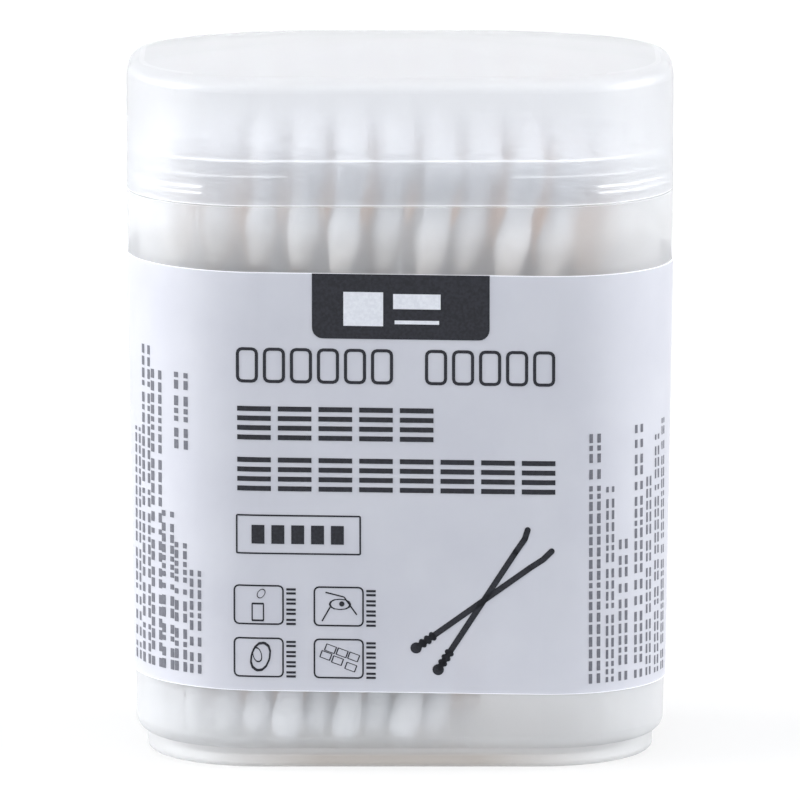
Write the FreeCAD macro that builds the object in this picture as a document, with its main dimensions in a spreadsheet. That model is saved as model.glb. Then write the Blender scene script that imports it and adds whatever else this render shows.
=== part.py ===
import FreeCAD, Part
import math
import os
import Sketcher

# Cotton swab tub: a frosted plastic tub with a press-on lid, a wrap-around label and
# rows of leaning cotton swabs inside.
# Frame: millimetres, +Z up, -Y is the front, origin at the middle of the foot's underside.

SIZES = (
    # Outline shared by the tub and the lid, at the line where they meet.
    ("outer_length", 72.0),
    ("outer_depth", 44.2),
    ("corner_radius", 17.5),
    # Tub.
    ("wall", 1.5),
    ("draft_angle", 0.87),
    ("body_edge_radius", 2.0),
    ("inner_edge_radius", 1.7),
    ("floor_thickness", 1.5),
    ("foot_height", 2.5),
    ("foot_inset", 1.4),
    ("foot_edge_radius", 0.9),
    ("foot_ring_width", 2.4),
    ("foot_recess", 1.3),
    ("neck_recess", 0.9),
    ("neck_height", 6.0),
    ("neck_lead_height", 2.1),
    ("neck_lead_angle", 6.0),
    ("bead_start", 26.0),
    ("bead_lift", 1.9),
    ("bead_half_height", 0.4),
    ("bead_projection", 0.22),
    # Lid.
    ("parting_gap", 0.2),
    ("lid_clearance", 0.3),
    ("lid_wall", 1.1),
    ("lid_edge_radius", 2.05),
    ("lid_crown", 2.35),
    ("lid_headroom", 8.3),
    ("rim_gap", 0.4),
    # Label.
    ("label_bottom", 10.4),
    ("label_height", 55.8),
    ("label_tilt", 0.8),
    ("label_film", 0.15),
    ("label_gap", 0.05),
    ("label_seam", 0.4),
    # One swab: a stick with a wound spiral head at the top and a plain drop head below.
    ("swab_length", 79.5),
    ("stick_radius", 1.25),
    ("bore_clearance", 0.03),
    ("cotton_edge", 0.3),
    ("spiral_radius", 2.5),
    ("spiral_shoulder", 4.2),
    ("spiral_waist_radius", 1.95),
    ("spiral_waist", 8.4),
    ("spiral_second_radius", 2.2),
    ("spiral_second", 11.2),
    ("spiral_length", 17.0),
    ("spiral_bore_end", 3.0),
    ("plain_radius", 2.15),
    ("plain_shoulder", 3.4),
    ("plain_neck_radius", 1.8),
    ("plain_neck", 7.2),
    ("plain_length", 12.5),
    ("plain_bore_end", 2.4),
    # How the swabs stand in the tub.
    ("tip_gap", 0.3),
    ("head_rise", 7.6),
    ("head_gap", 0.05),
    ("wall_gap", 0.3),
    ("top_left_gap", 2.5),
    ("top_right_gap", 3.5),
    ("bottom_left_gap", 1.0),
    ("bottom_right_gap", 23.0),
    ("top_scatter", 0.5),
    ("lift_scatter", 0.6),
)

# Heights and insets that several sub-parts share, as expressions on the sheet.
FLOOR_TOP = "(sizes.foot_recess + sizes.floor_thickness)"
PARTING = f"({FLOOR_TOP} + sizes.tip_gap + sizes.swab_length - sizes.head_rise)"
RIM = f"({PARTING} + sizes.neck_height)"
LEAD = f"({RIM} - sizes.neck_lead_height)"
LID_SEAT = f"({PARTING} + sizes.parting_gap)"
LID_TOP = f"({PARTING} + sizes.head_rise + sizes.lid_headroom + sizes.lid_wall)"
SLOPE = "tan(sizes.draft_angle * 1 deg)"
FOOT_INSET = f"({SLOPE} * ({PARTING} - sizes.foot_height) + sizes.foot_inset)"
SKIRT = "(sizes.neck_recess - sizes.lid_clearance)"

# The foot's pad starts this much inside the body, above the body's rounded edge.
FOOT_OVERLAP = 1.0

# The crown is lofted through copies of the lid's top outline, each a share of its size.
CROWN_SHARES = (1.0, 0.8, 0.6, 0.4, 0.2, 0.05)

# The swabs are kept together in this many rows, counted from the front to the back.
ROW_GROUPS = 8

document = FreeCAD.newDocument("cotton_swab_tub")
sheet = document.addObject("Spreadsheet::Sheet", "sizes")
for row_number, (alias, value) in enumerate(SIZES, start=1):
    sheet.set(f"A{row_number}", alias)
    sheet.set(f"B{row_number}", str(value))
    sheet.setAlias(f"B{row_number}", alias)
document.recompute()


def size(alias):
    """One driving dimension, as a number."""
    return float(sheet.get(alias))


def new_body(name):
    body = document.addObject("PartDesign::Body", name)
    body.Label = name
    return body


def new_sketch(body, name, role, height="0"):
    """A sketch on one of the body's own origin planes, moved along its normal."""
    plane = next(item for item in body.Origin.OriginFeatures if item.Role == role)
    sketch = body.newObject("Sketcher::SketchObject", name)
    sketch.AttachmentSupport = [(plane, "")]
    sketch.MapMode = "FlatFace"
    sketch.setExpression("AttachmentOffset.Base.z", height)
    return sketch


def bind(sketch, kind, arguments, name, expression, start):
    """A named dimension of a sketch, started near its value and bound to the sheet."""
    number = sketch.addConstraint(Sketcher.Constraint(kind, *arguments, start))
    sketch.renameConstraint(number, name)
    sketch.setExpression(f"Constraints.{name}", expression)


def rounded_rectangle(body, name, height, length, depth, corner):
    """A rounded rectangle about the origin, with its three sizes as expressions."""
    sketch = new_sketch(body, name, "XY_Plane", height)
    half_x = size("outer_length") / 2
    half_y = size("outer_depth") / 2
    radius = size("corner_radius")
    across = half_x - radius
    along = half_y - radius
    vector = FreeCAD.Vector
    up = vector(0, 0, 1)
    quarter = math.pi / 2
    centres = ((across, -along), (across, along), (-across, along), (-across, -along))
    sides = (
        ((-across, -half_y), (across, -half_y)),
        ((half_x, -along), (half_x, along)),
        ((across, half_y), (-across, half_y)),
        ((-half_x, along), (-half_x, -along)),
    )
    for index in range(4):
        first, last = sides[index]
        sketch.addGeometry(Part.LineSegment(vector(*first, 0), vector(*last, 0)))
        circle = Part.Circle(vector(*centres[index], 0), up, radius)
        start = (index - 1) * quarter
        sketch.addGeometry(Part.ArcOfCircle(circle, start, start + quarter))
    for index in range(8):
        sketch.addConstraint(Sketcher.Constraint("Tangent", index, 2, (index + 1) % 8, 1))
    for index in (0, 4):
        sketch.addConstraint(Sketcher.Constraint("Horizontal", index))
        sketch.addConstraint(Sketcher.Constraint("Vertical", index + 2))
    for index in (3, 5, 7):
        sketch.addConstraint(Sketcher.Constraint("Equal", 1, index))
    sketch.addConstraint(Sketcher.Constraint("Symmetric", 1, 3, 5, 3, -1, 1))
    bind(sketch, "DistanceX", (6, 1, 2, 1), "length", length, 2 * half_x)
    bind(sketch, "DistanceY", (0, 1, 4, 1), "depth", depth, 2 * half_y)
    bind(sketch, "Radius", (1,), "corner", corner, radius)
    return sketch


def outline(body, name, height, inset):
    """The shared outline of tub and lid, drawn in by an inset."""
    return rounded_rectangle(
        body,
        name,
        height,
        f"sizes.outer_length - 2 * {inset}",
        f"sizes.outer_depth - 2 * {inset}",
        f"sizes.corner_radius - {inset}",
    )


def feature_volume(body):
    return body.Shape.Volume if body.Tip else 0.0


def extrude(kind, body, name, sketch, length, downward=False, taper="0"):
    """A Pad that has to add material or a Pocket that has to take some away."""
    before = feature_volume(body)
    feature = body.newObject(f"PartDesign::{kind}", name)
    feature.Profile = sketch
    feature.setExpression("Length", length)
    feature.setExpression("TaperAngle", taper)
    feature.Reversed = downward == (kind == "Pad")
    document.recompute()
    change = feature.Shape.Volume - before
    if (change > 0) != (kind == "Pad"):
        raise RuntimeError(f"{name} changes the volume by {change}")
    return feature


def pad(body, name, sketch, length, downward=False, taper="0"):
    return extrude("Pad", body, name, sketch, length, downward, taper)


def pocket(body, name, sketch, length, downward=False, taper="0"):
    return extrude("Pocket", body, name, sketch, length, downward, taper)


def flat_edges(shape, height):
    """The names of the edges that lie in the level plane at a height."""
    names = []
    for number, edge in enumerate(shape.Edges, start=1):
        box = edge.BoundBox
        if max(abs(box.ZMin - height), abs(box.ZMax - height)) < 1e-4:
            names.append(f"Edge{number}")
    return names


def fillet(body, name, base, height, radius):
    """A fillet on the edges of the base feature that lie at a height."""
    feature = body.newObject("PartDesign::Fillet", name)
    feature.Base = (base, flat_edges(base.Shape, height))
    feature.setExpression("Radius", radius)
    document.recompute()
    return feature


def crown(kind, body, name, base_height):
    """The low dome on the lid's top, lofted through shrinking outlines on a parabola."""
    sections = []
    for number, share in enumerate(CROWN_SHARES, start=1):
        section = rounded_rectangle(
            body,
            f"{name}_section_{number}",
            f"{base_height} + sizes.lid_crown * {1 - share ** 2}",
            f"{share} * (sizes.outer_length - 2 * sizes.lid_edge_radius)",
            f"{share} * (sizes.outer_depth - 2 * sizes.lid_edge_radius)",
            f"{share} * (sizes.corner_radius - sizes.lid_edge_radius)",
        )
        sections.append(section)
    loft = body.newObject(f"PartDesign::{kind}", name)
    loft.Profile = sections[0]
    loft.Sections = sections[1:]
    document.recompute()
    return loft


def end_bead_profile(body):
    """The outlines of the two snap beads, one round each end of the neck."""
    sketch = new_sketch(body, "bead_profile", "XY_Plane", f"{PARTING} + sizes.bead_lift")
    inset = size("neck_recess") - size("bead_projection")
    radius = size("corner_radius") - inset
    across = size("outer_length") / 2 - size("corner_radius")
    along = size("outer_depth") / 2 - size("corner_radius")
    vector = FreeCAD.Vector
    up = vector(0, 0, 1)
    spread = math.acos((size("bead_start") - across) / radius)
    rise = radius * math.sin(spread)
    for side in (1, -1):
        first = len(sketch.Geometry)
        front = Part.Circle(vector(side * across, -along, 0), up, radius)
        back = Part.Circle(vector(side * across, along, 0), up, radius)
        if side > 0:
            sketch.addGeometry(Part.ArcOfCircle(front, -spread, 0))
            sketch.addGeometry(Part.ArcOfCircle(back, 0, spread))
            near, far = 1, 2
        else:
            sketch.addGeometry(Part.ArcOfCircle(front, math.pi, math.pi + spread))
            sketch.addGeometry(Part.ArcOfCircle(back, math.pi - spread, math.pi))
            near, far = 2, 1
        end_x = side * (across + radius)
        start_x = side * size("bead_start")
        sketch.addGeometry(Part.LineSegment(vector(end_x, -along, 0), vector(end_x, along, 0)))
        sketch.addGeometry(
            Part.LineSegment(vector(start_x, along + rise, 0), vector(start_x, -along - rise, 0))
        )
        arc_front, arc_back, end_line, chord = range(first, first + 4)
        for joined in (
            (arc_front, far, end_line, 1),
            (end_line, 2, arc_back, near),
        ):
            sketch.addConstraint(Sketcher.Constraint("Tangent", *joined))
        for joined in (
            (arc_back, far, chord, 1),
            (chord, 2, arc_front, near),
        ):
            sketch.addConstraint(Sketcher.Constraint("Coincident", *joined))
        sketch.addConstraint(Sketcher.Constraint("Vertical", end_line))
        sketch.addConstraint(Sketcher.Constraint("Vertical", chord))
        sketch.addConstraint(Sketcher.Constraint("Equal", arc_front, arc_back))
        word = "right" if side > 0 else "left"
        from_middle = (-1, 1, end_line, 1) if side > 0 else (end_line, 1, -1, 1)
        start_middle = (-1, 1, chord, 1) if side > 0 else (chord, 1, -1, 1)
        reach = "sizes.outer_length / 2 - sizes.neck_recess + sizes.bead_projection"
        bend = "sizes.corner_radius - sizes.neck_recess + sizes.bead_projection"
        bind(sketch, "DistanceX", from_middle, f"{word}_end", reach, across + radius)
        bind(
            sketch, "DistanceX", start_middle, f"{word}_start", "sizes.bead_start",
            size("bead_start"),
        )
        bind(sketch, "Radius", (arc_front,), f"{word}_bend", bend, radius)
        straight = "sizes.outer_depth / 2 - sizes.corner_radius"
        bind(sketch, "DistanceY", (arc_front, 3, -1, 1), f"{word}_front", straight, along)
        bind(sketch, "DistanceY", (-1, 1, arc_back, 3), f"{word}_back", straight, along)
    return sketch


def build_tub():
    """The tub: drafted body, stepped foot, recessed neck with end beads, one moulding."""
    body = new_body("tub")
    draft = "-sizes.draft_angle"
    wall = outline(body, "body_outline", PARTING, "0")
    body_pad = pad(body, "drafted_body", wall, f"{PARTING} - sizes.foot_height", True, draft)
    fillet(body, "body_edge", body_pad, size("foot_height"), "sizes.body_edge_radius")
    foot = outline(body, "foot_outline", f"sizes.foot_height + {FOOT_OVERLAP}", FOOT_INSET)
    foot_pad = pad(body, "foot", foot, f"sizes.foot_height + {FOOT_OVERLAP}", True)
    fillet(body, "foot_edge", foot_pad, 0.0, "sizes.foot_edge_radius")
    neck = outline(body, "neck_outline", PARTING, "sizes.neck_recess")
    pad(body, "neck", neck, f"{LEAD} - {PARTING}")
    lead = outline(body, "neck_lead_outline", LEAD, "sizes.neck_recess")
    pad(body, "neck_lead", lead, "sizes.neck_lead_height", False, "-sizes.neck_lead_angle")
    bead = end_bead_profile(body)
    bead_slope = "-atan(sizes.bead_projection / sizes.bead_half_height)"
    pad(body, "bead_upper_half", bead, "sizes.bead_half_height", False, bead_slope)
    pad(body, "bead_lower_half", bead, "sizes.bead_half_height", True, bead_slope)
    mouth = outline(body, "mouth_outline", PARTING, "sizes.wall")
    pocket(body, "mouth", mouth, "sizes.neck_height")
    hollow = outline(body, "hollow_outline", PARTING, "sizes.wall")
    cavity = pocket(body, "hollow", hollow, f"{PARTING} - {FLOOR_TOP}", True, draft)
    floor_top = size("foot_recess") + size("floor_thickness")
    fillet(body, "hollow_edge", cavity, floor_top, "sizes.inner_edge_radius")
    recess_inset = f"({FOOT_INSET} + sizes.foot_ring_width)"
    recess = outline(body, "recess_outline", "0", recess_inset)
    pocket(body, "underside_recess", recess, "sizes.foot_recess")
    return body


def build_lid():
    """The press-on lid: rounded edge, low crown, thinner skirt that goes over the neck."""
    body = new_body("lid")
    shell = outline(body, "lid_outline", LID_SEAT, "0")
    shell_pad = pad(body, "lid_shell", shell, f"{LID_TOP} - {LID_SEAT}")
    lid_top = max(vertex.Z for vertex in shell_pad.Shape.Vertexes)
    fillet(body, "lid_edge", shell_pad, lid_top, "sizes.lid_edge_radius")
    crown("AdditiveLoft", body, "crown", LID_TOP)
    skirt = outline(body, "skirt_outline", LID_SEAT, SKIRT)
    pocket(body, "skirt", skirt, f"{RIM} + sizes.rim_gap - {LID_SEAT}")
    inside = outline(body, "inside_outline", LID_SEAT, "sizes.lid_wall")
    inside_cut = pocket(body, "inside", inside, f"{LID_TOP} - sizes.lid_wall - {LID_SEAT}")
    inside_radius = "sizes.lid_edge_radius - sizes.lid_wall"
    fillet(body, "inside_edge", inside_cut, lid_top - size("lid_wall"), inside_radius)
    crown("SubtractiveLoft", body, "inside_crown", f"({LID_TOP} - sizes.lid_wall)")
    return body


def side_view_loop(body, name, corners):
    """A closed loop seen from the front; each corner is its (x, z) as expressions."""
    sketch = new_sketch(body, name, "XZ_Plane")
    starts = ((-90.0, 10.0), (90.0, 10.0), (90.0, 60.0), (-90.0, 60.0))
    vector = FreeCAD.Vector
    for index in range(4):
        first = vector(*starts[index], 0)
        last = vector(*starts[(index + 1) % 4], 0)
        sketch.addGeometry(Part.LineSegment(first, last))
    for index in range(4):
        sketch.addConstraint(Sketcher.Constraint("Coincident", index, 2, (index + 1) % 4, 1))
    for index, (across, up) in enumerate(corners):
        near, high = starts[index]
        bind(sketch, "DistanceX", (-1, 1, index, 1), f"across_{index}", across, near)
        bind(sketch, "DistanceY", (-1, 1, index, 1), f"up_{index}", up, high)
    return sketch


def cut_through(body, name, sketch, both_sides):
    """A pocket through everything, on both sides of the front view or only behind it."""
    before = feature_volume(body)
    feature = body.newObject("PartDesign::Pocket", name)
    feature.Profile = sketch
    feature.Type = "ThroughAll"
    feature.Midplane = both_sides
    document.recompute()
    if feature.Shape.Volume >= before:
        raise RuntimeError(f"{name} cuts nothing")


def build_label():
    """The wrap-around film label, a little askew, with its butt seam at the back."""
    body = new_body("label")
    draft = "-sizes.draft_angle"
    reach = "sizes.outer_length"
    slant = f"tan(sizes.label_tilt * 1 deg) * {reach}"
    tall = f"({PARTING} - sizes.foot_height)"
    outer = outline(body, "film_outline", PARTING, "(-sizes.label_gap - sizes.label_film)")
    pad(body, "film", outer, tall, True, draft)
    inner = outline(body, "film_inner_outline", PARTING, "(-sizes.label_gap)")
    pocket(body, "film_hollow", inner, tall, True, draft)
    top = "sizes.label_bottom + sizes.label_height"
    above = side_view_loop(body, "above_label", (
        (f"-{reach}", f"{top} + {slant}"),
        (reach, f"{top} - {slant}"),
        (reach, f"{PARTING} + {reach}"),
        (f"-{reach}", f"{PARTING} + {reach}"),
    ))
    cut_through(body, "label_top_edge", above, True)
    below = side_view_loop(body, "below_label", (
        (f"-{reach}", f"-{reach}"),
        (reach, f"-{reach}"),
        (reach, f"sizes.label_bottom - {slant}"),
        (f"-{reach}", f"sizes.label_bottom + {slant}"),
    ))
    cut_through(body, "label_bottom_edge", below, True)
    half_seam = "sizes.label_seam / 2"
    seam = side_view_loop(body, "seam_slot", (
        (f"-{half_seam}", "0"),
        (half_seam, "0"),
        (half_seam, PARTING),
        (f"-{half_seam}", PARTING),
    ))
    cut_through(body, "seam", seam, False)
    return body


def turned_solid(name, start_radius, points):
    """A turned solid: a round tip at z = 0, then the (radius, height) points, then the axis."""
    body = new_body(name)
    sketch = new_sketch(body, f"{name}_profile", "XZ_Plane")
    vector = FreeCAD.Vector
    tip_radius = size(start_radius)
    up = vector(0, 0, 1)
    tip = Part.Circle(vector(0, tip_radius, 0), up, tip_radius)
    sketch.addGeometry(Part.ArcOfCircle(tip, -math.pi / 2, 0))
    path = [(tip_radius, tip_radius)] + [(near, high) for near, high, _, _ in points]
    for first, last in zip(path, path[1:]):
        sketch.addGeometry(Part.LineSegment(vector(*first, 0), vector(*last, 0)))
    sketch.addGeometry(Part.LineSegment(vector(*path[-1], 0), vector(0, 0, 0)))
    lines = len(path)
    for index in range(lines):
        sketch.addConstraint(Sketcher.Constraint("Coincident", index, 2, index + 1, 1))
    sketch.addConstraint(Sketcher.Constraint("Coincident", lines, 2, 0, 1))
    sketch.addConstraint(Sketcher.Constraint("Coincident", 0, 1, -1, 1))
    sketch.addConstraint(Sketcher.Constraint("PointOnObject", 0, 3, -2))
    sketch.addConstraint(Sketcher.Constraint("Vertical", lines))
    bind(sketch, "Radius", (0,), "tip", f"sizes.{start_radius}", tip_radius)
    bind(sketch, "DistanceY", (-1, 1, 0, 2), "tip_end", f"sizes.{start_radius}", tip_radius)
    for index, (near, high, radius, height) in enumerate(points, start=1):
        if radius != "0":
            bind(sketch, "DistanceX", (-1, 1, index, 2), f"radius_{index}", radius, near)
        bind(sketch, "DistanceY", (-1, 1, index, 2), f"height_{index}", height, high)
    turned = body.newObject("PartDesign::Revolution", f"{name}_turned")
    turned.Profile = sketch
    turned.ReferenceAxis = (sketch, ["V_Axis"])
    turned.Angle = 360
    document.recompute()
    return body


def profile_points(pairs):
    """Start values and expressions for the points of a turned profile."""
    points = []
    for radius, height in pairs:
        near = sum(size(alias) for alias in radius)
        high = size(height)
        near_text = " + ".join(f"sizes.{alias}" for alias in radius) or "0"
        points.append((near, high, near_text, f"sizes.{height}"))
    return points


def build_swab_pieces():
    """One stick, one spiral head and one plain head, each upright in its own frame."""
    bore = ("stick_radius", "bore_clearance")
    lip = ("stick_radius", "bore_clearance", "cotton_edge")
    spiral = turned_solid("spiral_head", "spiral_radius", profile_points((
        (("spiral_radius",), "spiral_shoulder"),
        (("spiral_waist_radius",), "spiral_waist"),
        (("spiral_second_radius",), "spiral_second"),
        (lip, "spiral_length"),
        (bore, "spiral_length"),
        (bore, "spiral_bore_end"),
        ((), "spiral_bore_end"),
    )))
    plain = turned_solid("plain_head", "plain_radius", profile_points((
        (("plain_radius",), "plain_shoulder"),
        (("plain_neck_radius",), "plain_neck"),
        (lip, "plain_length"),
        (bore, "plain_length"),
        (bore, "plain_bore_end"),
        ((), "plain_bore_end"),
    )))
    stick = document.addObject("Part::Cylinder", "stick")
    stick.setExpression("Radius", "sizes.stick_radius")
    stick.setExpression(
        "Height", "sizes.swab_length - sizes.spiral_bore_end - sizes.plain_bore_end"
    )
    document.recompute()
    return stick, spiral, plain


def inner_half_sizes(parting, height):
    """Half length, half depth and corner radius of the tub's inside at a height."""
    narrowing = math.tan(math.radians(size("draft_angle"))) * max(parting - height, 0.0)
    inset = size("wall") + narrowing
    return (
        size("outer_length") / 2 - inset,
        size("outer_depth") / 2 - inset,
        size("corner_radius") - inset,
    )


def head_fits(half_sizes, head_radius, across, back):
    """Whether a head at (across, back) stays clear of the tub's rounded inner corners."""
    half_length, half_depth, corner = half_sizes
    beyond_x = abs(across) - (half_length - corner)
    beyond_y = abs(back) - (half_depth - corner)
    if beyond_x <= 0 or beyond_y <= 0:
        return True
    return math.hypot(beyond_x, beyond_y) <= corner - head_radius - size("wall_gap")


def spread_evenly(first, last, count):
    step = (last - first) / max(count - 1, 1)
    return [first + step * index for index in range(count)]


def swab_places(parting):
    """The head centres of each swab, by row: (row, bottom centre, top centre)."""
    floor_top = size("foot_recess") + size("floor_thickness")
    low = floor_top + size("tip_gap") + size("plain_radius")
    top_inside = inner_half_sizes(parting, parting)
    low_inside = inner_half_sizes(parting, low)
    top_reach = top_inside[1] - size("spiral_radius") - size("wall_gap")
    low_reach = low_inside[1] - size("plain_radius") - size("wall_gap")
    top_first = size("spiral_radius") + size("top_left_gap") - top_inside[0]
    top_last = top_inside[0] - size("spiral_radius") - size("top_right_gap")
    low_first = size("plain_radius") + size("bottom_left_gap") - low_inside[0]
    low_last = low_inside[0] - size("plain_radius") - size("bottom_right_gap")
    top_pitch = 2 * size("spiral_radius") + size("head_gap")
    low_pitch = 2 * size("plain_radius") + size("head_gap")
    rows = 1 + int(min(2 * top_reach / top_pitch, 2 * low_reach / low_pitch))
    centre_length = size("swab_length") - size("plain_radius") - size("spiral_radius")
    lean = math.asin((top_last - low_last) / centre_length)
    half_row = low_reach / max(rows - 1, 1)
    low_step = math.sqrt(max(low_pitch ** 2 - half_row ** 2, 0.0)) / math.cos(lean)
    half_row = top_reach / max(rows - 1, 1)
    top_step = math.sqrt(max(top_pitch ** 2 - half_row ** 2, 0.0)) + 2 * size("top_scatter")
    columns = 1 + int(min((low_last - low_first) / low_step, (top_last - top_first) / top_step))
    top_x = spread_evenly(top_first, top_last, columns)
    low_x = spread_evenly(low_first, low_last, columns)
    half_rows = 2 * rows - 1
    top_y = spread_evenly(-top_reach, top_reach, half_rows)
    low_y = spread_evenly(-low_reach, low_reach, half_rows)
    places = []
    for column in range(columns):
        for place in range(column % 2, half_rows, 2):
            sway = size("top_scatter") * math.sin(2.3 * column + 1.7 * place)
            lift = size("lift_scatter") * (0.5 + 0.5 * math.sin(3.1 * column + 4.7 * place))
            low_centre = (low_x[column], low_y[place])
            top_centre = (top_x[column] + sway, top_y[place])
            low_ok = head_fits(low_inside, size("plain_radius"), *low_centre)
            top_ok = head_fits(top_inside, size("spiral_radius"), *top_centre)
            if low_ok and top_ok:
                run_x = top_centre[0] - low_centre[0]
                run_y = top_centre[1] - low_centre[1]
                run_z = math.sqrt(centre_length ** 2 - run_x ** 2 - run_y ** 2)
                bottom = FreeCAD.Vector(*low_centre, low + lift)
                direction = FreeCAD.Vector(run_x, run_y, run_z).normalize()
                places.append((place * ROW_GROUPS // half_rows + 1, bottom, direction))
    return places


def placed(shape, base, direction):
    """A copy of an upright piece, with its foot at base and its axis along direction."""
    copy = shape.copy()
    turn = FreeCAD.Rotation(FreeCAD.Vector(0, 0, 1), direction)
    copy.Placement = FreeCAD.Placement(base, turn)
    return copy


def build_swab_rows(parting):
    """The swabs, one node each for a row's sticks, its spiral heads and its plain heads."""
    stick, spiral, plain = build_swab_pieces()
    rows = {}
    for row, bottom, direction in swab_places(parting):
        tip = bottom - direction * size("plain_radius")
        top = tip + direction * size("swab_length")
        stick_start = tip + direction * size("plain_bore_end")
        pieces = rows.setdefault(row, ([], [], []))
        pieces[0].append(placed(stick.Shape, stick_start, direction))
        pieces[1].append(placed(spiral.Shape, top, -direction))
        pieces[2].append(placed(plain.Shape, tip, direction))
    nodes = []
    for row in sorted(rows):
        for word, shapes in zip(("sticks", "spiral_heads", "plain_heads"), rows[row]):
            node = document.addObject("Part::Feature", f"{word}_row_{row}")
            node.Label = f"{word}_row_{row}"
            node.Shape = Part.makeCompound(shapes)
            node.Placement = FreeCAD.Placement()
            nodes.append(node)
    return nodes


def check_and_export(nodes):
    """Stops at any failed object, then writes one STEP file for each node."""
    document.recompute()
    for item in document.Objects:
        if "Invalid" in item.State or "Error" in item.State:
            raise RuntimeError(f"{item.Label} failed: {item.State}")
    for node in nodes:
        if node.Shape.isNull() or not node.Shape.isValid():
            raise RuntimeError(f"{node.Label} has no valid shape")
    os.makedirs("parts", exist_ok=True)
    for node in nodes:
        node.Shape.exportStep(f"parts/{node.Label}.step")
        print(node.Label, len(node.Shape.Solids), round(node.Shape.Volume, 2))


tub = build_tub()
lid = build_lid()
label = build_label()
parting_height = document.getObject("body_outline").Placement.Base.z
swab_rows = build_swab_rows(parting_height)
check_and_export([tub, lid, label] + swab_rows)
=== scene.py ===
import bmesh
import bpy
import math
import random
from mathutils import Matrix, Vector


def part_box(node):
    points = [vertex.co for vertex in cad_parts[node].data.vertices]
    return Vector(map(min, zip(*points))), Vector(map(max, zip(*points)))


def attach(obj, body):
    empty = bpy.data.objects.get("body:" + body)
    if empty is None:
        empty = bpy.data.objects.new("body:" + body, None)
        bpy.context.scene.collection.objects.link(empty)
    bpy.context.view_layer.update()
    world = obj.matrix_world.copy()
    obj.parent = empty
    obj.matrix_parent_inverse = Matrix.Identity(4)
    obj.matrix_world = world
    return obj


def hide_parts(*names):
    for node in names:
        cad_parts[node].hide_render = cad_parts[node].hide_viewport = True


# Looks of a cotton swab tub: frosted moulded plastic, a printed film label, paper sticks
# and wound cotton heads. Metres, +Z up, -Y is the front.

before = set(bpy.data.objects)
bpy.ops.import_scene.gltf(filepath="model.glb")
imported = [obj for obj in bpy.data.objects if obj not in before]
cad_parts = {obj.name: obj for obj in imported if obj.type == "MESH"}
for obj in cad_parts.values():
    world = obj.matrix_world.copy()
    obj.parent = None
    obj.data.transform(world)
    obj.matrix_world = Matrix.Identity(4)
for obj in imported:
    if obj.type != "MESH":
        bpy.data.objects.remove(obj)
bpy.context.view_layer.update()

MM = 0.001
random.seed(7)

# Lengths, heights and distances below are in mm, colours are sRGB hex.

# The label is a little askew, and its print with it.
LABEL_TILT = math.radians(0.8)
LABEL_BOTTOM = 10.4
LABEL_HEIGHT = 55.8

# Print is pressed this far above the film, and is this thick.
INK_LIFT = 0.02
INK_THICKNESS = 0.02

# Edges painted as glowing lines of light, standing in for light caught on real edges: height,
# half the line's width, how far from the middle the line starts, and its strength. The tub's last
# two edge the snap beads.
TUB_EDGES = (
    (74.97, 0.03, 0.0, 0.3), (80.92, 0.09, 0.0, 0.8), (78.9, 0.05, 15.0, 0.9),
    (76.5, 0.07, 25.9, 2.0), (77.3, 0.07, 25.9, 2.0),
)
LID_EDGES = ((75.24, 0.04, 0.0, 0.6), (92.0, 0.04, 27.0, 0.06))
LABEL_EDGES = ((LABEL_BOTTOM, 0.08, 0.0, 1.0), (LABEL_BOTTOM + LABEL_HEIGHT, 0.09, 0.0, 1.0))
# How brightly a painted glowing line with a strength of one shines.
PLASTIC_PAINTED_GLOW = 0.8
FILM_PAINTED_GLOW = 0.3

# The plastic takes up this share of the light and lets the rest straight through.
MILKINESS = 0.6
# Of what it takes up, this part goes on as a blur and the rest makes it milky: at the middle,
# round the ends, where the eye looks along the wall, and at the painted lines of light.
TUB_CLEAR = (0.7, 0.42)
LID_CLEAR = (0.84, 0.8)
EDGE_CLEAR = 0.3
# How far from the middle line the ends begin, and where they are at their milkiest.
WALL_ENDS = (26.0, 34.5)

# The bundle would dim the foot below it, so painted shade darkens the foot's colour there. The
# shade comes in between these two heights, and between these two distances from the middle line.
FOOT_SHADE_HEIGHTS = (2.2, 1.5)
FOOT_SHADE_ENDS = (26.0, 10.4)

# How much the film hides what is behind it, away from its cut edges.
FILM_COVER = 0.68

# A top head thins out into its tail between these heights.
TAIL_HEIGHTS = (72.5, 66.0)
# Cotton above this height belongs to a top head.
TOP_HEADS_ABOVE = 20.8

# Where the bundle's lit skin gives way to its core, which gets painted shade and a painted glow:
# distances from the middle line to the ends and to the front, and heights.
BUNDLE_ENDS = (30.0, 22.0)
BUNDLE_FRONT = (11.5, 7.0)
BUNDLE_TOP = (79.5, 74.0)
BUNDLE_FOOT = (4.0, 11.0)
BUNDLE_PAINTED_GLOW = 0.25

# Colours. Pairs are the two tones that a material's pattern moves between.
TUB_TONES = ("#f4f6f8", "#f7f8fa")
LID_TONES = ("#e5e7eb", "#e8eaee")
# Painted shade on the foot, below the bundle.
FOOT_PAINTED_SHADE = "#b9b0a9"
FILM_TONES = ("#e4e5ed", "#e9eaf1")
CHARCOAL_INK = ("#222328", "#2c2d34")
GREY_INK = ("#6a6b73", "#74757d")
WHITE_INK = ("#e2e4ea", "#eceef3")
PAPER_TONES = ("#4a3426", "#6b4f3c")
COTTON_TONES = ("#eeeff2", "#fafafc")
COTTON_TAIL = "#f3ebe3"
# Painted shade for the bundle's core, then the colour of the painted glow out of its gaps.
COTTON_PAINTED_SHADE = "#bda18a"
BUNDLE_PAINTED_GLOW_TONE = "#f2cfb0"
FLOOR_LIT = "#9da2a8"
FLOOR_SEEN = "#f4f4f4"
SKY_LIT = "#eef3ff"
WHITE = "#ffffff"

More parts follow.
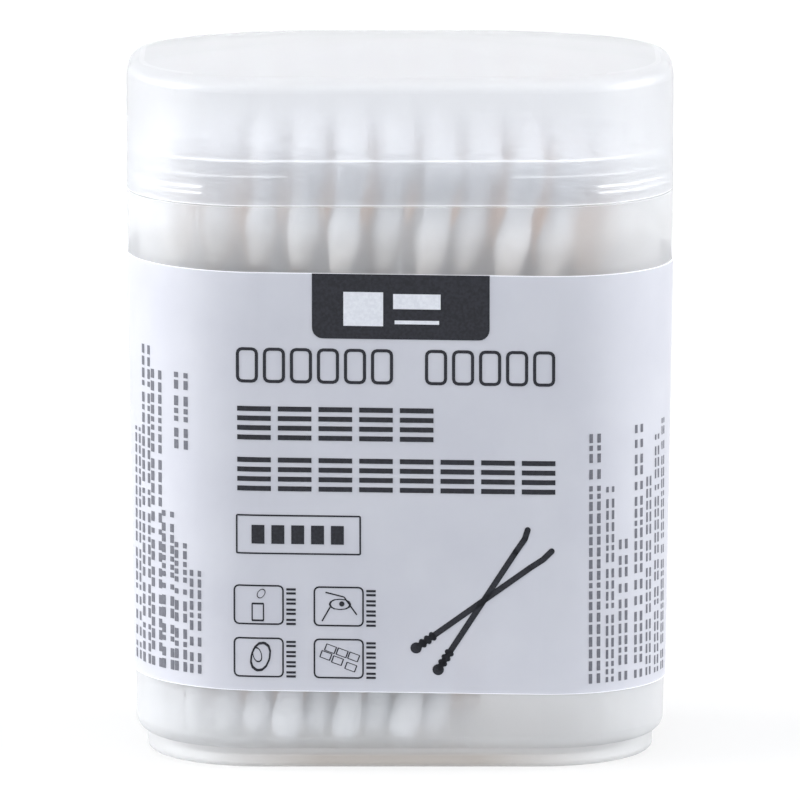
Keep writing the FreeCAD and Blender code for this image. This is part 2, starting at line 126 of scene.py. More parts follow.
# Cotton heads, as rings from the tip down the stick: distance from the tip and radius.
SPIRAL_RINGS = (
    (0.06, 0.7), (0.35, 1.35), (0.9, 1.9), (1.8, 2.28), (2.9, 2.44), (4.1, 2.4), (5.3, 2.2),
    (6.5, 1.95), (7.6, 1.78), (8.6, 1.77), (9.7, 2.0), (10.8, 2.28), (11.9, 2.38),
    (13.0, 2.25), (14.1, 1.98), (15.2, 1.7), (16.2, 1.48), (16.95, 1.32),
)
PLAIN_RINGS = (
    (0.06, 0.65), (0.35, 1.3), (0.85, 1.8), (1.6, 2.12), (2.6, 2.24), (3.8, 2.14), (5.2, 1.88),
    (6.8, 1.66), (8.6, 1.54), (10.4, 1.46), (11.7, 1.4), (12.45, 1.32),
)
# Each ring is pushed off the axis this far, in a direction that turns from ring to ring.
SPIRAL_WOBBLE = 0.08
PLAIN_WOBBLE = 0.05
RING_TURN = 1.1
# The stick ends this far inside its head.
SPIRAL_BORE = 3.0
PLAIN_BORE = 2.4
# Heads differ in girth, each by a draw between these shares of the pattern's own.
SPIRAL_GIRTHS = (0.94, 1.0)
PLAIN_GIRTHS = (0.86, 1.02)
# Rows of swabs, from the front, and the distance below which two corners of a mesh are one.
ROWS = range(1, 9)
SAME_POINT = 0.001

# Small upright columns near the label's ends: left and right edge as seen from the front,
# foot and top above the label's bottom edge.
SIDE_COLUMNS = (
    (-27.6, -26.1, 1.8, 15.6), (-29.6, -28.0, 1.8, 19.3), (-29.6, -27.8, 31.6, 41.8),
    (-31.3, -29.7, 1.8, 23.0), (-32.7, -31.3, 1.8, 42.3), (-33.9, -32.85, 1.8, 45.2),
    (-34.85, -34.15, 1.9, 33.2),
    (24.8, 26.3, 1.3, 35.1), (27.05, 28.1, 1.3, 27.5), (28.75, 29.9, 1.3, 20.6),
    (30.85, 31.9, 1.3, 35.3), (32.4, 33.05, 1.3, 29.4), (33.55, 34.1, 1.3, 34.0),
    (34.45, 34.8, 1.3, 35.3),
)
# A column's marks and the spaces between them are drawn from these. A mark is two upright
# strokes, each this share of the column's width.
MARK_LENGTHS = (1.2, 1.2, 1.3, 1.1, 0.7)
MARK_SPACES = (0.35, 0.35, 0.4, 0.9)
MARK_STROKE = 0.3
SHORTEST_MARK = 0.5

# Lamps: name, degrees round from the front, degrees up, strength and width in degrees.
LAMPS = (
    ("left_softbox", -88, 10, 4.8, 60),
    ("right_softbox", 88, 10, 3.5, 60),
    ("top_softbox", 0, 75, 1.3, 110),
    ("front_fill", 0, 20, 0.4, 80),
    ("back_glow", 180, 10, 0.4, 90),
)
# The surroundings' level where they are seen, and as a source of light.
SKY_SEEN_LEVEL = 1.0
SKY_LIT_LEVEL = 0.3
# This share of the floor that is seen shines as a backdrop does; the rest takes shadows.
BACKDROP_SHARE = 0.7


def linear(hex_colour):
    """An sRGB hex colour as linear red, green, blue and full alpha."""
    values = []
    for start in (1, 3, 5):
        share = int(hex_colour[start:start + 2], 16) / 255
        values.append(share / 12.92 if share <= 0.04045 else ((share + 0.055) / 1.055) ** 2.4)
    return (*values, 1.0)


def per_mm(length):
    """The scale of a pattern whose features are this many millimetres across."""
    return 1 / (length * MM)


def new_material(name):
    material = bpy.data.materials.new(name)
    material.use_nodes = True
    material.node_tree.nodes.clear()
    return material


def add_node(owner, kind, options=None, values=None, links=None):
    """Adds one shader node with its options, its socket values and its incoming links."""
    node = owner.node_tree.nodes.new(kind)
    for name, value in (options or {}).items():
        setattr(node, name, value)
    for socket, value in (values or {}).items():
        node.inputs[socket].default_value = value
    for socket, source in (links or {}).items():
        owner.node_tree.links.new(source, node.inputs[socket])
    return node


def maths(owner, operation, *terms):
    """The result of one sum; each term is a plain number or another node's output."""
    values = {}
    links = {}
    for place, term in enumerate(terms):
        if isinstance(term, float):
            values[place] = term
        else:
            links[place] = term
    node = add_node(owner, "ShaderNodeMath", {"operation": operation}, values, links)
    return node.outputs[0]


def mapped(owner, source, start, end, low=0.0, high=1.0):
    """Carries a value from one range over to another and holds it at both ends."""
    node = add_node(
        owner, "ShaderNodeMapRange",
        values={"From Min": start, "From Max": end, "To Min": low, "To Max": high},
        links={"Value": source},
    )
    return node.outputs["Result"]


def object_place(material):
    return add_node(material, "ShaderNodeTexCoord").outputs["Object"]


def split(material, place):
    return add_node(material, "ShaderNodeSeparateXYZ", links={"Vector": place}).outputs


def noise(material, place, size, detail, distortion=0.0):
    """Soft noise whose features are about this many millimetres across."""
    node = add_node(
        material, "ShaderNodeTexNoise",
        values={"Scale": per_mm(size), "Detail": detail, "Distortion": distortion},
        links={"Vector": place},
    )
    return node.outputs["Fac"]


def bumped(material, pattern, strength, depth):
    """Bump from a pattern, this many millimetres deep."""
    node = add_node(
        material, "ShaderNodeBump",
        values={"Strength": strength, "Distance": depth * MM}, links={"Height": pattern},
    )
    return node.outputs["Normal"]


def two_tones(material, pattern, first, second):
    """A ramp from one colour to another, driven by a pattern."""
    ramp = add_node(material, "ShaderNodeValToRGB", links={"Fac": pattern})
    ramp.color_ramp.elements[0].position = 0.35
    ramp.color_ramp.elements[0].color = linear(first)
    ramp.color_ramp.elements[1].position = 0.65
    ramp.color_ramp.elements[1].color = linear(second)
    return ramp.outputs["Color"]


def tinted(material, colour, tint, share):
    """Takes a colour over into a plain tint, as far as the share says."""
    node = add_node(
        material, "ShaderNodeMix", options={"data_type": "RGBA"},
        values={"B": linear(tint)}, links={"A": colour, "Factor": share},
    )
    return node.outputs["Result"]


def close_material(material, shader):
    add_node(material, "ShaderNodeOutputMaterial", links={"Surface": shader.outputs[0]})
    return material


def finished(material, values, links):
    """Closes a material with one Principled shader."""
    shader = add_node(material, "ShaderNodeBsdfPrincipled", values=values, links=links)
    return close_material(material, shader)


def painted_edge_glow(material, place, edges):
    """Above zero on each of these edges: a mask for painted glowing lines, where cut or moulded
    plastic would catch the light.
    """
    parts = split(material, place)
    across = maths(material, "ABSOLUTE", parts["X"])
    painted_glow_lines = 0.0
    for height, half_width, start, strength in edges:
        level = maths(material, "COMPARE", parts["Z"], height * MM, half_width * MM)
        beyond = maths(material, "GREATER_THAN", across, start * MM)
        line = maths(material, "MULTIPLY", level, beyond)
        bright = maths(material, "MULTIPLY", line, strength)
        painted_glow_lines = maths(material, "MAXIMUM", painted_glow_lines, bright)
    return painted_glow_lines


def painted_foot_shade(material, milk, height, across):
    """The plastic's colour with painted shade: dimmer in the middle of the foot, below the
    bundle.
    """
    top, full = FOOT_SHADE_HEIGHTS
    outer, inner = FOOT_SHADE_ENDS
    low = mapped(material, height, top * MM, full * MM)
    inward = mapped(material, across, outer * MM, inner * MM)
    under = maths(material, "MULTIPLY", low, inward)
    return tinted(material, milk, FOOT_PAINTED_SHADE, under)


def frosted_polypropylene(name, clearness, tones, edges):
    """Injection moulded polypropylene: milky and see-through, softer with depth, satin skin."""
    material = new_material(name)
    place = object_place(material)
    parts = split(material, place)
    across = maths(material, "ABSOLUTE", parts["X"])
    # Painted lines of light along the edges: they glow and make the plastic milkier there.
    painted_glow_lines = painted_edge_glow(material, place, edges)
    # Slow clouds in the milkiness, as the melt flowed.
    flow = noise(material, place, size=14.0, detail=2.0)
    milk = two_tones(material, flow, *tones)
    satin = mapped(material, flow, 0.3, 0.7, low=0.37, high=0.41)
    # The mould's fine spark texture, drawn at 0.5 mm so that it shows.
    skin = noise(material, place, size=0.5, detail=3.0)
    start, full = WALL_ENDS
    along_wall = mapped(material, across, start * MM, full * MM, *clearness)
    clear = add_node(
        material, "ShaderNodeMapRange",
        values={"To Max": EDGE_CLEAR}, links={"Value": painted_glow_lines, "To Min": along_wall},
    )
    return finished(
        material,
        values={"IOR": 1.49, "Alpha": MILKINESS, "Emission Color": linear(WHITE)},
        links={
            "Base Color": painted_foot_shade(material, milk, parts["Z"], across),
            "Roughness": satin,
            "Normal": bumped(material, skin, strength=0.25, depth=0.02),
            "Transmission Weight": clear.outputs["Result"],
            "Emission Strength": maths(material, "MULTIPLY", painted_glow_lines, PLASTIC_PAINTED_GLOW),
        },
    )


def label_film():
    """White polypropylene film: even, satin, a little cool, with a hint of what is behind."""
    material = new_material("satin_white_label_film")
    place = object_place(material)
    # Faint mottling of the white ink under the print.
    mottle = noise(material, place, size=9.0, detail=4.0)
    # The cut edges of the film get painted glowing lines of light; they lean with the label.
    level = add_node(
        material, "ShaderNodeMapping",
        values={"Rotation": (0.0, -LABEL_TILT, 0.0)}, links={"Vector": place},
    )
    cut = painted_edge_glow(material, level.outputs["Vector"], LABEL_EDGES)
    # The film lies in slight waves.
    waves = noise(material, place, size=6.0, detail=1.0)
    return finished(
        material,
        values={"Roughness": 0.42, "IOR": 1.49, "Emission Color": linear(WHITE)},
        links={
            "Base Color": two_tones(material, mottle, *FILM_TONES),
            "Normal": bumped(material, waves, strength=0.2, depth=0.05),
            "Alpha": mapped(material, cut, 0.0, 1.0, low=FILM_COVER, high=1.0),
            "Emission Strength": maths(material, "MULTIPLY", cut, FILM_PAINTED_GLOW),
        },
    )


def printing_ink(name, tones):
    """Gravure ink on film: dense and even, with a faint grain of cells."""
    material = new_material(name)
    cells = noise(material, object_place(material), size=0.4, detail=2.0)
    return finished(
        material,
        values={"Roughness": 0.55, "IOR": 1.5, "Specular IOR Level": 0.25},
        links={"Base Color": two_tones(material, cells, *tones)},
    )


def rolled_paper():
    """Dark rolled paper: fibres along the stick and the edges of the roll round it."""
    material = new_material("dark_rolled_paper")
    place = object_place(material)
    stretched = add_node(
        material, "ShaderNodeMapping",
        values={"Scale": (1.0, 1.0, 0.15)}, links={"Vector": place},
    )
    fibres = noise(material, stretched.outputs["Vector"], size=0.5, detail=4.0)
    roll = add_node(
        material, "ShaderNodeTexWave", options={"bands_direction": "Z"},
        values={"Scale": per_mm(9.0), "Distortion": 1.5, "Detail": 2.0},
        links={"Vector": place},
    )
    return finished(
        material,
        values={"Roughness": 0.75},
        links={
            "Base Color": two_tones(material, fibres, *PAPER_TONES),
            "Normal": bumped(material, roll.outputs["Fac"], strength=0.3, depth=0.05),
        },
    )


def painted_bundle_core(material, parts):
    """One for the parts of the heads that stand well inside the bundle, where painted shade and
    painted glow stand in for light that dies away.
    """
    deep = 1.0
    limits = (("X", BUNDLE_ENDS), ("Y", BUNDLE_FRONT), ("Z", BUNDLE_TOP), ("Z", BUNDLE_FOOT))
    for axis, (skin, core) in limits:
        from_middle = maths(material, "ABSOLUTE", parts[axis])
        inner = mapped(material, from_middle, skin * MM, core * MM)
        deep = maths(material, "MULTIPLY", deep, inner)
    return deep


def thin_tail(material, height):
    """One for the thin tails of the top heads, none for their tips and the bottom heads."""
    thick, thin = TAIL_HEIGHTS
    tail = mapped(material, height, thick * MM, thin * MM)
    upper = maths(material, "GREATER_THAN", height, TOP_HEADS_ABOVE * MM)
    return maths(material, "MULTIPLY", tail, upper)


def wound_cotton():
    """Wound absorbent cotton: matt white, in fine strands with soft hollows."""
    material = new_material("wound_absorbent_cotton")
    place = object_place(material)
    parts = split(material, place)
    strands = noise(material, place, size=0.8, detail=6.0, distortion=1.2)
    white = two_tones(material, strands, *COTTON_TONES)
    # The dark stick shines through a thin tail.
    cotton = tinted(material, white, COTTON_TAIL, thin_tail(material, parts["Z"]))
    # Painted shade between the heads, and a weak warm painted glow out of the gaps, for light
    # that has wandered there.
    deep = painted_bundle_core(material, parts)
    return finished(
        material,
        values={
            "Roughness": 0.95, "Sheen Weight": 0.3, "Sheen Roughness": 0.6,
            "Emission Color": linear(BUNDLE_PAINTED_GLOW_TONE),
        },
        links={
            "Base Color": tinted(material, cotton, COTTON_PAINTED_SHADE, deep),
            "Normal": bumped(material, strands, strength=0.7, depth=0.15),
            "Emission Strength": maths(material, "MULTIPLY", deep, BUNDLE_PAINTED_GLOW),
        },
    )


def wear(obj, material):
    """Puts one material on every slot of a piece."""
    if not obj.material_slots:
        obj.data.materials.append(material)
    for holder in obj.material_slots:
        holder.material = material


def pick_nothing():
    bpy.ops.object.select_all(action="DESELECT")


def pick_only(objects):
    """Selects these objects and nothing else, the last one active."""
    pick_nothing()
    for obj in objects:
        obj.select_set(True)
    bpy.context.view_layer.objects.active = objects[-1]


def drop(obj):
    bpy.data.objects.remove(obj, do_unlink=True)


def placed_copy(master, matrix):
    """A copy of a modelled piece with its own mesh, moved into place in its mesh."""
    copy = master.copy()
    copy.data = master.data.copy()
    copy.data.transform(matrix)
    bpy.context.scene.collection.objects.link(copy)
    return copy


def joined(name, objects):
    """One piece with this name, made of all these objects."""
    pick_only(objects)
    if len(objects) > 1:
        bpy.ops.object.join()
    piece = bpy.context.object
    piece.name = name
    piece.data.name = name
    return piece


def wound_head(name, rings, wobble, sides):
    """A cotton head drawn up ring by ring from its tip at z = 0, each ring a bit off axis."""
    pick_nothing()
    start_height, start_radius = rings[0]
    bpy.ops.mesh.primitive_circle_add(
        vertices=sides, radius=start_radius * MM, fill_type="NGON",
        location=(0, 0, start_height * MM),
    )
    head = bpy.context.object
    head.name = name
    bpy.ops.object.mode_set(mode="EDIT")
    bpy.ops.mesh.select_all(action="SELECT")
    off_axis = Vector((0.0, 0.0))
    for number, ((low, near), (high, far)) in enumerate(zip(rings, rings[1:]), start=1):
        turn = number * RING_TURN
        # The last ring, round the stick, is back on the axis.
        share = 1.0 if number < len(rings) - 1 else 0.0
        aim = Vector((math.cos(turn), math.sin(turn))) * wobble * share
        step = aim - off_axis
        off_axis = aim
        bpy.ops.mesh.extrude_region_move(
            TRANSFORM_OT_translate={"value": (step.x * MM, step.y * MM, (high - low) * MM)}
        )
        bpy.ops.transform.resize(value=(far / near, far / near, 1))
    bpy.ops.mesh.select_all(action="SELECT")
    bpy.ops.mesh.normals_make_consistent(inside=False)
    bpy.ops.object.mode_set(mode="OBJECT")
    bpy.ops.object.shade_smooth()
    bpy.ops.object.transform_apply(location=True, rotation=True, scale=True)
    return head


def average(points):
    return sum(points, Vector()) / len(points)


def connected(start, seen):
    """All the vertices that hang together with this one."""
    seen.add(start)
    island = [start]
    for vertex in island:
        for edge in vertex.link_edges:
            other = edge.other_vert(vertex)
            if other not in seen:
                seen.add(other)
                island.append(other)
    return island


def stick_ends(row):
    """The lower and upper end centres of each stick in a row, from left to right."""
    mesh = bmesh.new()
    mesh.from_mesh(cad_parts[f"sticks_row_{row}"].data)
    bmesh.ops.remove_doubles(mesh, verts=mesh.verts, dist=SAME_POINT * MM)
    seen = set()
    ends = []
    for start in mesh.verts:
        if start in seen:
            continue
        stick = connected(start, seen)
        heights = [vertex.co.z for vertex in stick]
        middle = (min(heights) + max(heights)) / 2
        low = average([vertex.co for vertex in stick if vertex.co.z < middle])
        high = average([vertex.co for vertex in stick if vertex.co.z >= middle])
        ends.append((low, high))
    mesh.free()
    return sorted(ends, key=lambda pair: pair[0].x)


def axis_matrix(tip, direction, turn, girth):
    """Puts a head with its tip at the origin onto a tip point, along a direction."""
    lay = direction.to_track_quat("Z", "Y").to_matrix().to_4x4()
    return (
        Matrix.Translation(tip) @ lay @ Matrix.Rotation(turn, 4, "Z")
        @ Matrix.Diagonal((girth, girth, 1.0, 1.0))
    )


def dress_swabs(cotton, paper):
    """Wound heads in place of the plain CAD ones; the CAD sticks stay, in dark paper."""
    spiral = wound_head("spiral_head_pattern", SPIRAL_RINGS, SPIRAL_WOBBLE, 14)
    plain = wound_head("plain_head_pattern", PLAIN_RINGS, PLAIN_WOBBLE, 12)
    for row in ROWS:
        spirals = []
        plains = []
        for low, high in stick_ends(row):
            along = (high - low).normalized()
            spiral_girth = random.uniform(*SPIRAL_GIRTHS)
            plain_girth = random.uniform(*PLAIN_GIRTHS)
            turn = random.uniform(0, 2 * math.pi)
            top_tip = high + along * SPIRAL_BORE * MM
            low_tip = low - along * PLAIN_BORE * MM
            spirals.append(placed_copy(spiral, axis_matrix(top_tip, -along, turn, spiral_girth)))
            plains.append(placed_copy(plain, axis_matrix(low_tip, along, turn, plain_girth)))
        for word, heads in (("spiral", spirals), ("plain", plains)):
            piece = joined(f"{word}_cotton_row_{row}", heads)
            wear(piece, cotton)
            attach(piece, "tub_body")
            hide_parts(f"{word}_heads_row_{row}")
        wear(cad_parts[f"sticks_row_{row}"], paper)
    drop(spiral)
    drop(plain)


def flat_plate(columns):
    """A one by one upright plate that faces the front, cut into columns."""
    pick_nothing()
    bpy.ops.mesh.primitive_grid_add(
        x_subdivisions=columns, y_subdivisions=1, size=1, rotation=(math.pi / 2, 0, 0)
    )
    bpy.ops.object.transform_apply(location=False, rotation=True, scale=False)
    return bpy.context.object


def flat_disc(sides):
    """An upright disc of unit width that faces the front."""
    pick_nothing()
    bpy.ops.mesh.primitive_circle_add(
        vertices=sides, radius=0.5, fill_type="NGON", rotation=(math.pi / 2, 0, 0)
    )
    bpy.ops.object.transform_apply(location=False, rotation=True, scale=False)
    return bpy.context.object


def flat_panel(width, height):
    """An upright panel that faces the front, centred on the origin, in millimetres."""
    pick_nothing()
    bpy.ops.mesh.primitive_plane_add(size=1, rotation=(math.pi / 2, 0, 0))
    panel = bpy.context.object
    panel.scale = (width, height, 1)
    bpy.ops.object.transform_apply(location=False, rotation=True, scale=True)
    return panel


def flat_frame(width, height, stroke, corner, cuts):
    """An upright outline with rounded corners, its sides cut so that it can bend."""
    outline = flat_panel(width, height)
    bpy.ops.object.mode_set(mode="EDIT")
    bpy.ops.mesh.select_all(action="SELECT")
    bpy.ops.mesh.bevel(affect="VERTICES", offset=corner, segments=3)
    bpy.ops.mesh.select_all(action="SELECT")
    bpy.ops.mesh.inset(thickness=stroke)
    bpy.ops.mesh.delete(type="FACE")
    bpy.ops.mesh.select_all(action="SELECT")
    bpy.ops.mesh.subdivide(number_cuts=cuts)
    bpy.ops.object.mode_set(mode="OBJECT")
    return outline


def flat_tab(width, height, corner):
    """An upright panel with its two lower corners rounded."""
    tab = flat_panel(width, height)
    bpy.ops.object.mode_set(mode="EDIT")
    bpy.ops.mesh.select_all(action="DESELECT")
    bpy.ops.object.mode_set(mode="OBJECT")
    for vertex in tab.data.vertices:
        vertex.select = vertex.co.z < 0
    bpy.ops.object.mode_set(mode="EDIT")
    bpy.ops.mesh.bevel(affect="VERTICES", offset=corner, segments=5)
    bpy.ops.object.mode_set(mode="OBJECT")
    return tab


# The print is laid out in mm across from the label's middle and up from its bottom edge.


def stamp(master, across, up, width=1.0, height=1.0, turn=0.0):
    """A copy of a flat master on the label's own plane: middle, size and turn in degrees."""
    matrix = (
        Matrix.Scale(MM, 4)
        @ Matrix.Translation((across, 0.0, up))
        @ Matrix.Rotation(math.radians(turn), 4, "Y")
        @ Matrix.Diagonal((width, 1.0, height, 1.0))
    )
    return placed_copy(master, matrix)


def span(master, left, low, right, high):
    """A copy of a flat master stretched between two corners."""
    return stamp(master, (left + right) / 2, (low + high) / 2, right - left, high - low)


def line(master, start, end, stroke):
    """A copy of a flat master drawn out from one point to another."""
    run = Vector(end) - Vector(start)
    middle = (Vector(start) + Vector(end)) / 2
    lean = math.degrees(math.atan2(run.x, run.y))
    return stamp(master, middle.x, middle.y, stroke, run.length, lean)


def press_on_label(name, stamps, ink, lift=INK_LIFT):
    """Joins flat stamps, tilts them with the label and presses them on its outer face."""
    piece = joined(name, stamps)
    in_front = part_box("label")[0].y - 5 * MM
    askew = Matrix.Identity(4)
    askew[2][0] = -math.tan(LABEL_TILT)
    piece.data.transform(Matrix.Translation((0, in_front, LABEL_BOTTOM * MM)) @ askew)
    wrap = piece.modifiers.new("on_film", "SHRINKWRAP")
    wrap.wrap_method = "PROJECT"
    wrap.wrap_mode = "ABOVE_SURFACE"
    wrap.use_project_y = True
    wrap.use_negative_direction = False
    wrap.use_positive_direction = True
    wrap.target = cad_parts["label"]
    wrap.offset = lift * MM
    bpy.ops.object.modifier_apply(modifier=wrap.name)
    body = piece.modifiers.new("thickness", "SOLIDIFY")
    body.thickness = INK_THICKNESS * MM
    body.offset = 1.0
    bpy.ops.object.modifier_apply(modifier=body.name)
    wear(piece, ink)
    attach(piece, "tub_body")


def print_tab(plate, ink, knockout):
    """The dark tab that hangs from the label's top edge, with plain light bars on it."""
    tab = flat_tab(width=23.2, height=8.6, corner=1.4)
    press_on_label("print_top_tab", [stamp(tab, 0.1, 51.47)], ink)
    bars = [
        span(plate, -7.4, 48.9, -2.2, 53.4),
        span(plate, -0.9, 51.2, 5.3, 53.2),
        span(plate, -0.7, 49.2, 5.1, 49.7),
    ]
    press_on_label("print_tab_bars", bars, knockout, 2 * (INK_LIFT + INK_THICKNESS))
    drop(tab)


def print_title(ink):
    """Title line: plain letter-high outlines, with a gap between its two words."""
    cell = flat_frame(width=2.9, height=4.7, stroke=0.42, corner=0.8, cuts=1)
    left = -20.0
    pitch = 3.53
    gap = 6
    cells = []
    for number in range(12):
        if number != gap:
            cells.append(stamp(cell, left + number * pitch, 43.5))
    press_on_label("print_title_cells", cells, ink)
    drop(cell)


def print_bold_lines(plate, ink):
    """Two bold lines of plain stacked bars, four to each sign."""
    left = -19.1
    pitch = 5.32
    rise = 1.27
    bars = []
    for low, signs in ((33.9, 5), (27.1, 8)):
        for sign in range(signs):
            for bar in range(4):
                bars.append(stamp(plate, left + sign * pitch, low + bar * rise, 4.4, 0.66))
    press_on_label("print_bold_lines", bars, ink)


def print_count_box(plate, ink):
    """The boxed count: an outline with plain bars in it."""
    box = flat_frame(width=16.4, height=5.3, stroke=0.22, corner=0.25, cuts=15)
    middle_height = 20.97
    left = -18.6
    pitch = 2.6
    counts = [stamp(box, -13.3, middle_height)]
    for number in range(5):
        counts.append(stamp(plate, left + number * pitch, middle_height, 1.7, 2.5))
    press_on_label("print_count_box", counts, ink)
    drop(box)


def small_marks(plate, across, up):
    """Four small signs below one another, each of two flat bars."""
    pitch = 1.36
    marks = []
    for mark in range(4):
        for off_middle in (-0.27, 0.27):
            marks.append(stamp(plate, across, up - mark * pitch + off_middle, 1.25, 0.3))
    return marks


def print_icons(plate, disc, ink):
    """Four icon boxes with plain signs, and a column of small marks beside each."""
    box = flat_frame(width=6.6, height=5.35, stroke=0.22, corner=0.7, cuts=3)
    ring = flat_frame(width=1.0, height=1.0, stroke=0.09, corner=0.45, cuts=0)
    tile = flat_frame(width=1.0, height=1.0, stroke=0.1, corner=0.08, cuts=0)
    # Signs: master, middle from the box's middle, width, height, turn in degrees.
    pot = ((tile, -0.12, -0.97, 1.65, 2.5, 0), (ring, 0.32, 1.5, 0.95, 1.4, 35))
    eye = ((ring, 0.17, 0.29, 2.9, 1.5, 0), (disc, 0.41, 0.35, 0.7, 0.7, 0))
    ear = ((ring, 0.24, 0.1, 2.6, 4.1, 15), (ring, -0.2, 0.35, 1.2, 2.1, -15))
    tiles = (
        (tile, -1.08, 1.32, 1.5, 1.0, 20), (tile, 0.44, 0.79, 1.5, 1.0, 20),
        (tile, 1.96, 0.26, 1.5, 1.0, 20), (tile, -1.69, 0.41, 1.5, 1.0, 20),
        (tile, -0.17, -0.27, 1.5, 1.0, 20), (tile, 1.58, -1.11, 1.5, 1.0, 20),
    )
    places = ((-18.53, 11.54, pot), (-8.04, 11.45, eye), (-18.54, 4.5, ear), (-8.04, 4.46, tiles))
    icons = []
    for across, up, signs in places:
        icons.append(stamp(box, across, up))
        for master, right, rise, width, height, turn in signs:
            icons.append(stamp(master, across + right, up + rise, width, height, turn))
        icons += small_marks(plate, across + 4.24, up + 1.84)
    # The eye's brow, in two strokes, and the brush beside it.
    stroke = 0.18
    icons.append(line(plate, (-9.77, 13.33), (-7.34, 12.73), stroke))
    icons.append(line(plate, (-7.34, 12.73), (-5.67, 10.37), stroke))
    icons.append(line(plate, (-10.23, 9.46), (-9.16, 11.36), stroke))
    press_on_label("print_icon_boxes", icons, ink)
    drop(box)
    drop(ring)
    drop(tile)


def print_crossed_swabs(plate, disc, ink):
    """Two crossed swabs: a slim stick, a ribbed head with a bead at the foot, a bent tip."""
    stroke = 0.8
    bead = 1.5
    first_rib = 1.1
    rib_pitch = 0.8
    # Points along each swab, from its foot to its tip.
    steep = ((5.01, 3.17), (15.15, 19.04), (16.35, 20.82), (16.72, 22.02))
    shallow = ((2.11, 6.04), (17.1, 17.0), (18.74, 18.09), (19.87, 19.21))
    parts = []
    for points in (steep, shallow):
        for start, end in zip(points, points[1:]):
            parts.append(line(plate, start, end, stroke))
            parts.append(stamp(disc, *end, stroke, stroke))
        foot = Vector(points[0])
        run = Vector(points[1]) - foot
        lean = math.degrees(math.atan2(run.x, run.y))
        parts.append(stamp(disc, foot.x, foot.y, bead, bead))
        for rib in range(3):
            spot = foot + run.normalized() * (first_rib + rib * rib_pitch)
            parts.append(stamp(disc, spot.x, spot.y, 1.3, 0.85, lean))
    press_on_label("print_crossed_swabs", parts, ink)


def print_side_columns(plate, ink):
    """Small columns of paired strokes, where the photo has lines of small upright text."""
    bars = []
    for left, right, foot, top in SIDE_COLUMNS:
        stroke = (right - left) * MARK_STROKE
        level = foot
        while level < top - SHORTEST_MARK:
            length = min(random.choice(MARK_LENGTHS), top - level)
            bars.append(span(plate, left, level, left + stroke, level + length))
            bars.append(span(plate, right - stroke, level, right, level + length))
            level += length + random.choice(MARK_SPACES)
    press_on_label("print_side_columns", bars, ink)


def build_label_print(ink, grey_ink, knockout):
    """All the print, cut from a few flat masters that are dropped again."""
    plate = flat_plate(4)
    disc = flat_disc(20)
    print_tab(plate, ink, knockout)
    print_title(ink)
    print_bold_lines(plate, ink)
    print_count_box(plate, ink)
    print_icons(plate, disc, ink)
    print_crossed_swabs(plate, disc, ink)
    print_side_columns(plate, grey_ink)
    drop(plate)
    drop(disc)


def seen_rays(owner, path):
    """One for rays that show the background: from the camera, by gloss or through plastic."""
    direct = maths(owner, "MAXIMUM", path["Is Camera Ray"], path["Is Glossy Ray"])
    return maths(owner, "MAXIMUM", direct, path["Is Transmission Ray"])


def two_colours(owner, lit, seen_colour, seen):
    """One colour for the light that a surface sends out, another where it is seen."""
    node = add_node(
        owner, "ShaderNodeMix", options={"data_type": "RGBA"},
        values={"A": linear(lit), "B": linear(seen_colour)}, links={"Factor": seen},
    )
    return node.outputs["Result"]


def build_floor():
    """A plain pale floor, paler still where it is seen."""
    pick_nothing()
    bpy.ops.mesh.primitive_plane_add(size=8)
    floor = bpy.context.object
    floor.name = "studio_floor"
    material = new_material("pale_studio_floor")
    seen = seen_rays(material, add_node(material, "ShaderNodeLightPath").outputs)
    colour = two_colours(material, FLOOR_LIT, FLOOR_SEEN, seen)
    lit = add_node(material, "ShaderNodeBsdfDiffuse", links={"Color": colour})
    backdrop = add_node(material, "ShaderNodeEmission", values={"Strength": 1.0})
    share = maths(material, "MULTIPLY", seen, BACKDROP_SHARE)
    shader = add_node(
        material, "ShaderNodeMixShader",
        links={0: share, 1: lit.outputs[0], 2: backdrop.outputs[0]},
    )
    wear(floor, close_material(material, shader))


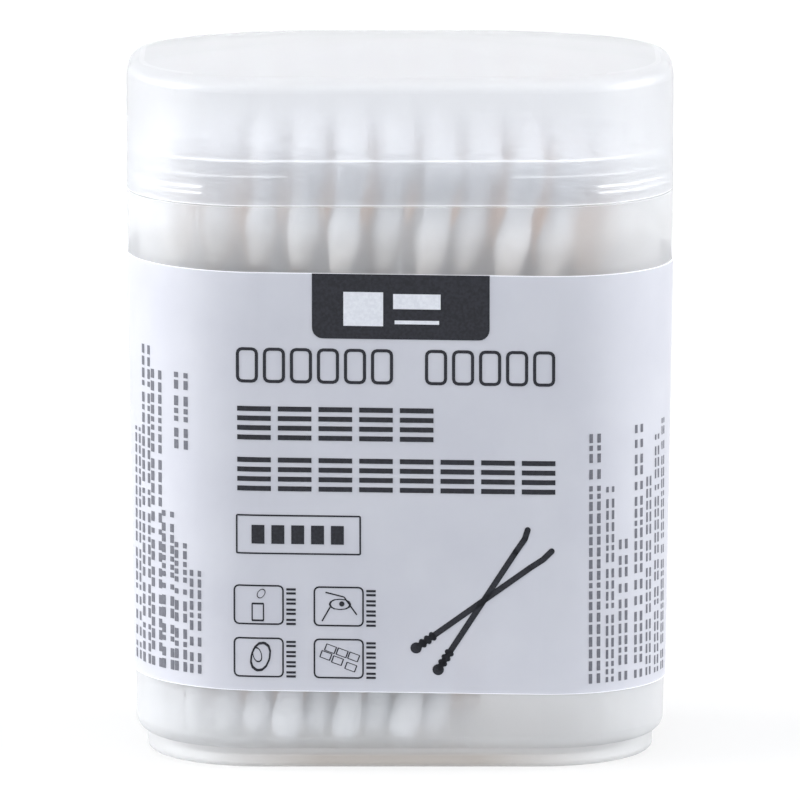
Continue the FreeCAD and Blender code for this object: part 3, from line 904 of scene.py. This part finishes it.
def build_world():
    """White surroundings to look at, and a soft level of light from them."""
    world = bpy.data.worlds.new("studio_world")
    bpy.context.scene.world = world
    world.use_nodes = True
    world.node_tree.nodes.clear()
    seen = seen_rays(world, add_node(world, "ShaderNodeLightPath").outputs)
    back = add_node(
        world, "ShaderNodeBackground",
        links={
            "Color": two_colours(world, SKY_LIT, WHITE, seen),
            "Strength": mapped(world, seen, 0.0, 1.0, SKY_LIT_LEVEL, SKY_SEEN_LEVEL),
        },
    )
    add_node(world, "ShaderNodeOutputWorld", links={"Surface": back.outputs[0]})


def build_lamps():
    """Wide studio lamps, all aimed at the origin."""
    for name, azimuth, elevation, strength, width in LAMPS:
        data = bpy.data.lights.new(name, "SUN")
        data.energy = strength
        data.angle = math.radians(width)
        lamp = bpy.data.objects.new(name, data)
        turn = math.radians(azimuth)
        rise = math.radians(elevation)
        away = Vector((
            math.sin(turn) * math.cos(rise), -math.cos(turn) * math.cos(rise), math.sin(rise),
        ))
        lamp.location = away
        lamp.rotation_euler = away.to_track_quat("Z", "Y").to_euler()
        bpy.context.scene.collection.objects.link(lamp)


def build_camera():
    """A long lens a little above the tub, as in the photograph."""
    data = bpy.data.cameras.new("camera")
    data.lens = 526.0
    data.sensor_width = 36.0
    data.clip_end = 20.0
    camera = bpy.data.objects.new("camera", data)
    eye = Vector((0.0, -1.527, 0.312))
    aim = Vector((0.0, 0.0, 0.0457))
    camera.location = eye
    camera.rotation_euler = (aim - eye).to_track_quat("-Z", "Y").to_euler()
    bpy.context.scene.collection.objects.link(camera)
    bpy.context.scene.camera = camera


tub_plastic = frosted_polypropylene("moulded_polypropylene_tub", TUB_CLEAR, TUB_TONES, TUB_EDGES)
lid_plastic = frosted_polypropylene("moulded_polypropylene_lid", LID_CLEAR, LID_TONES, LID_EDGES)
wear(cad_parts["tub"], tub_plastic)
wear(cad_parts["lid"], lid_plastic)
wear(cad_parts["label"], label_film())
dress_swabs(wound_cotton(), rolled_paper())
build_label_print(
    printing_ink("charcoal_label_ink", CHARCOAL_INK),
    printing_ink("grey_label_ink", GREY_INK),
    printing_ink("white_label_ink", WHITE_INK),
)
build_floor()
build_world()
build_lamps()
build_camera()
bpy.context.scene.view_settings.view_transform = "Standard"
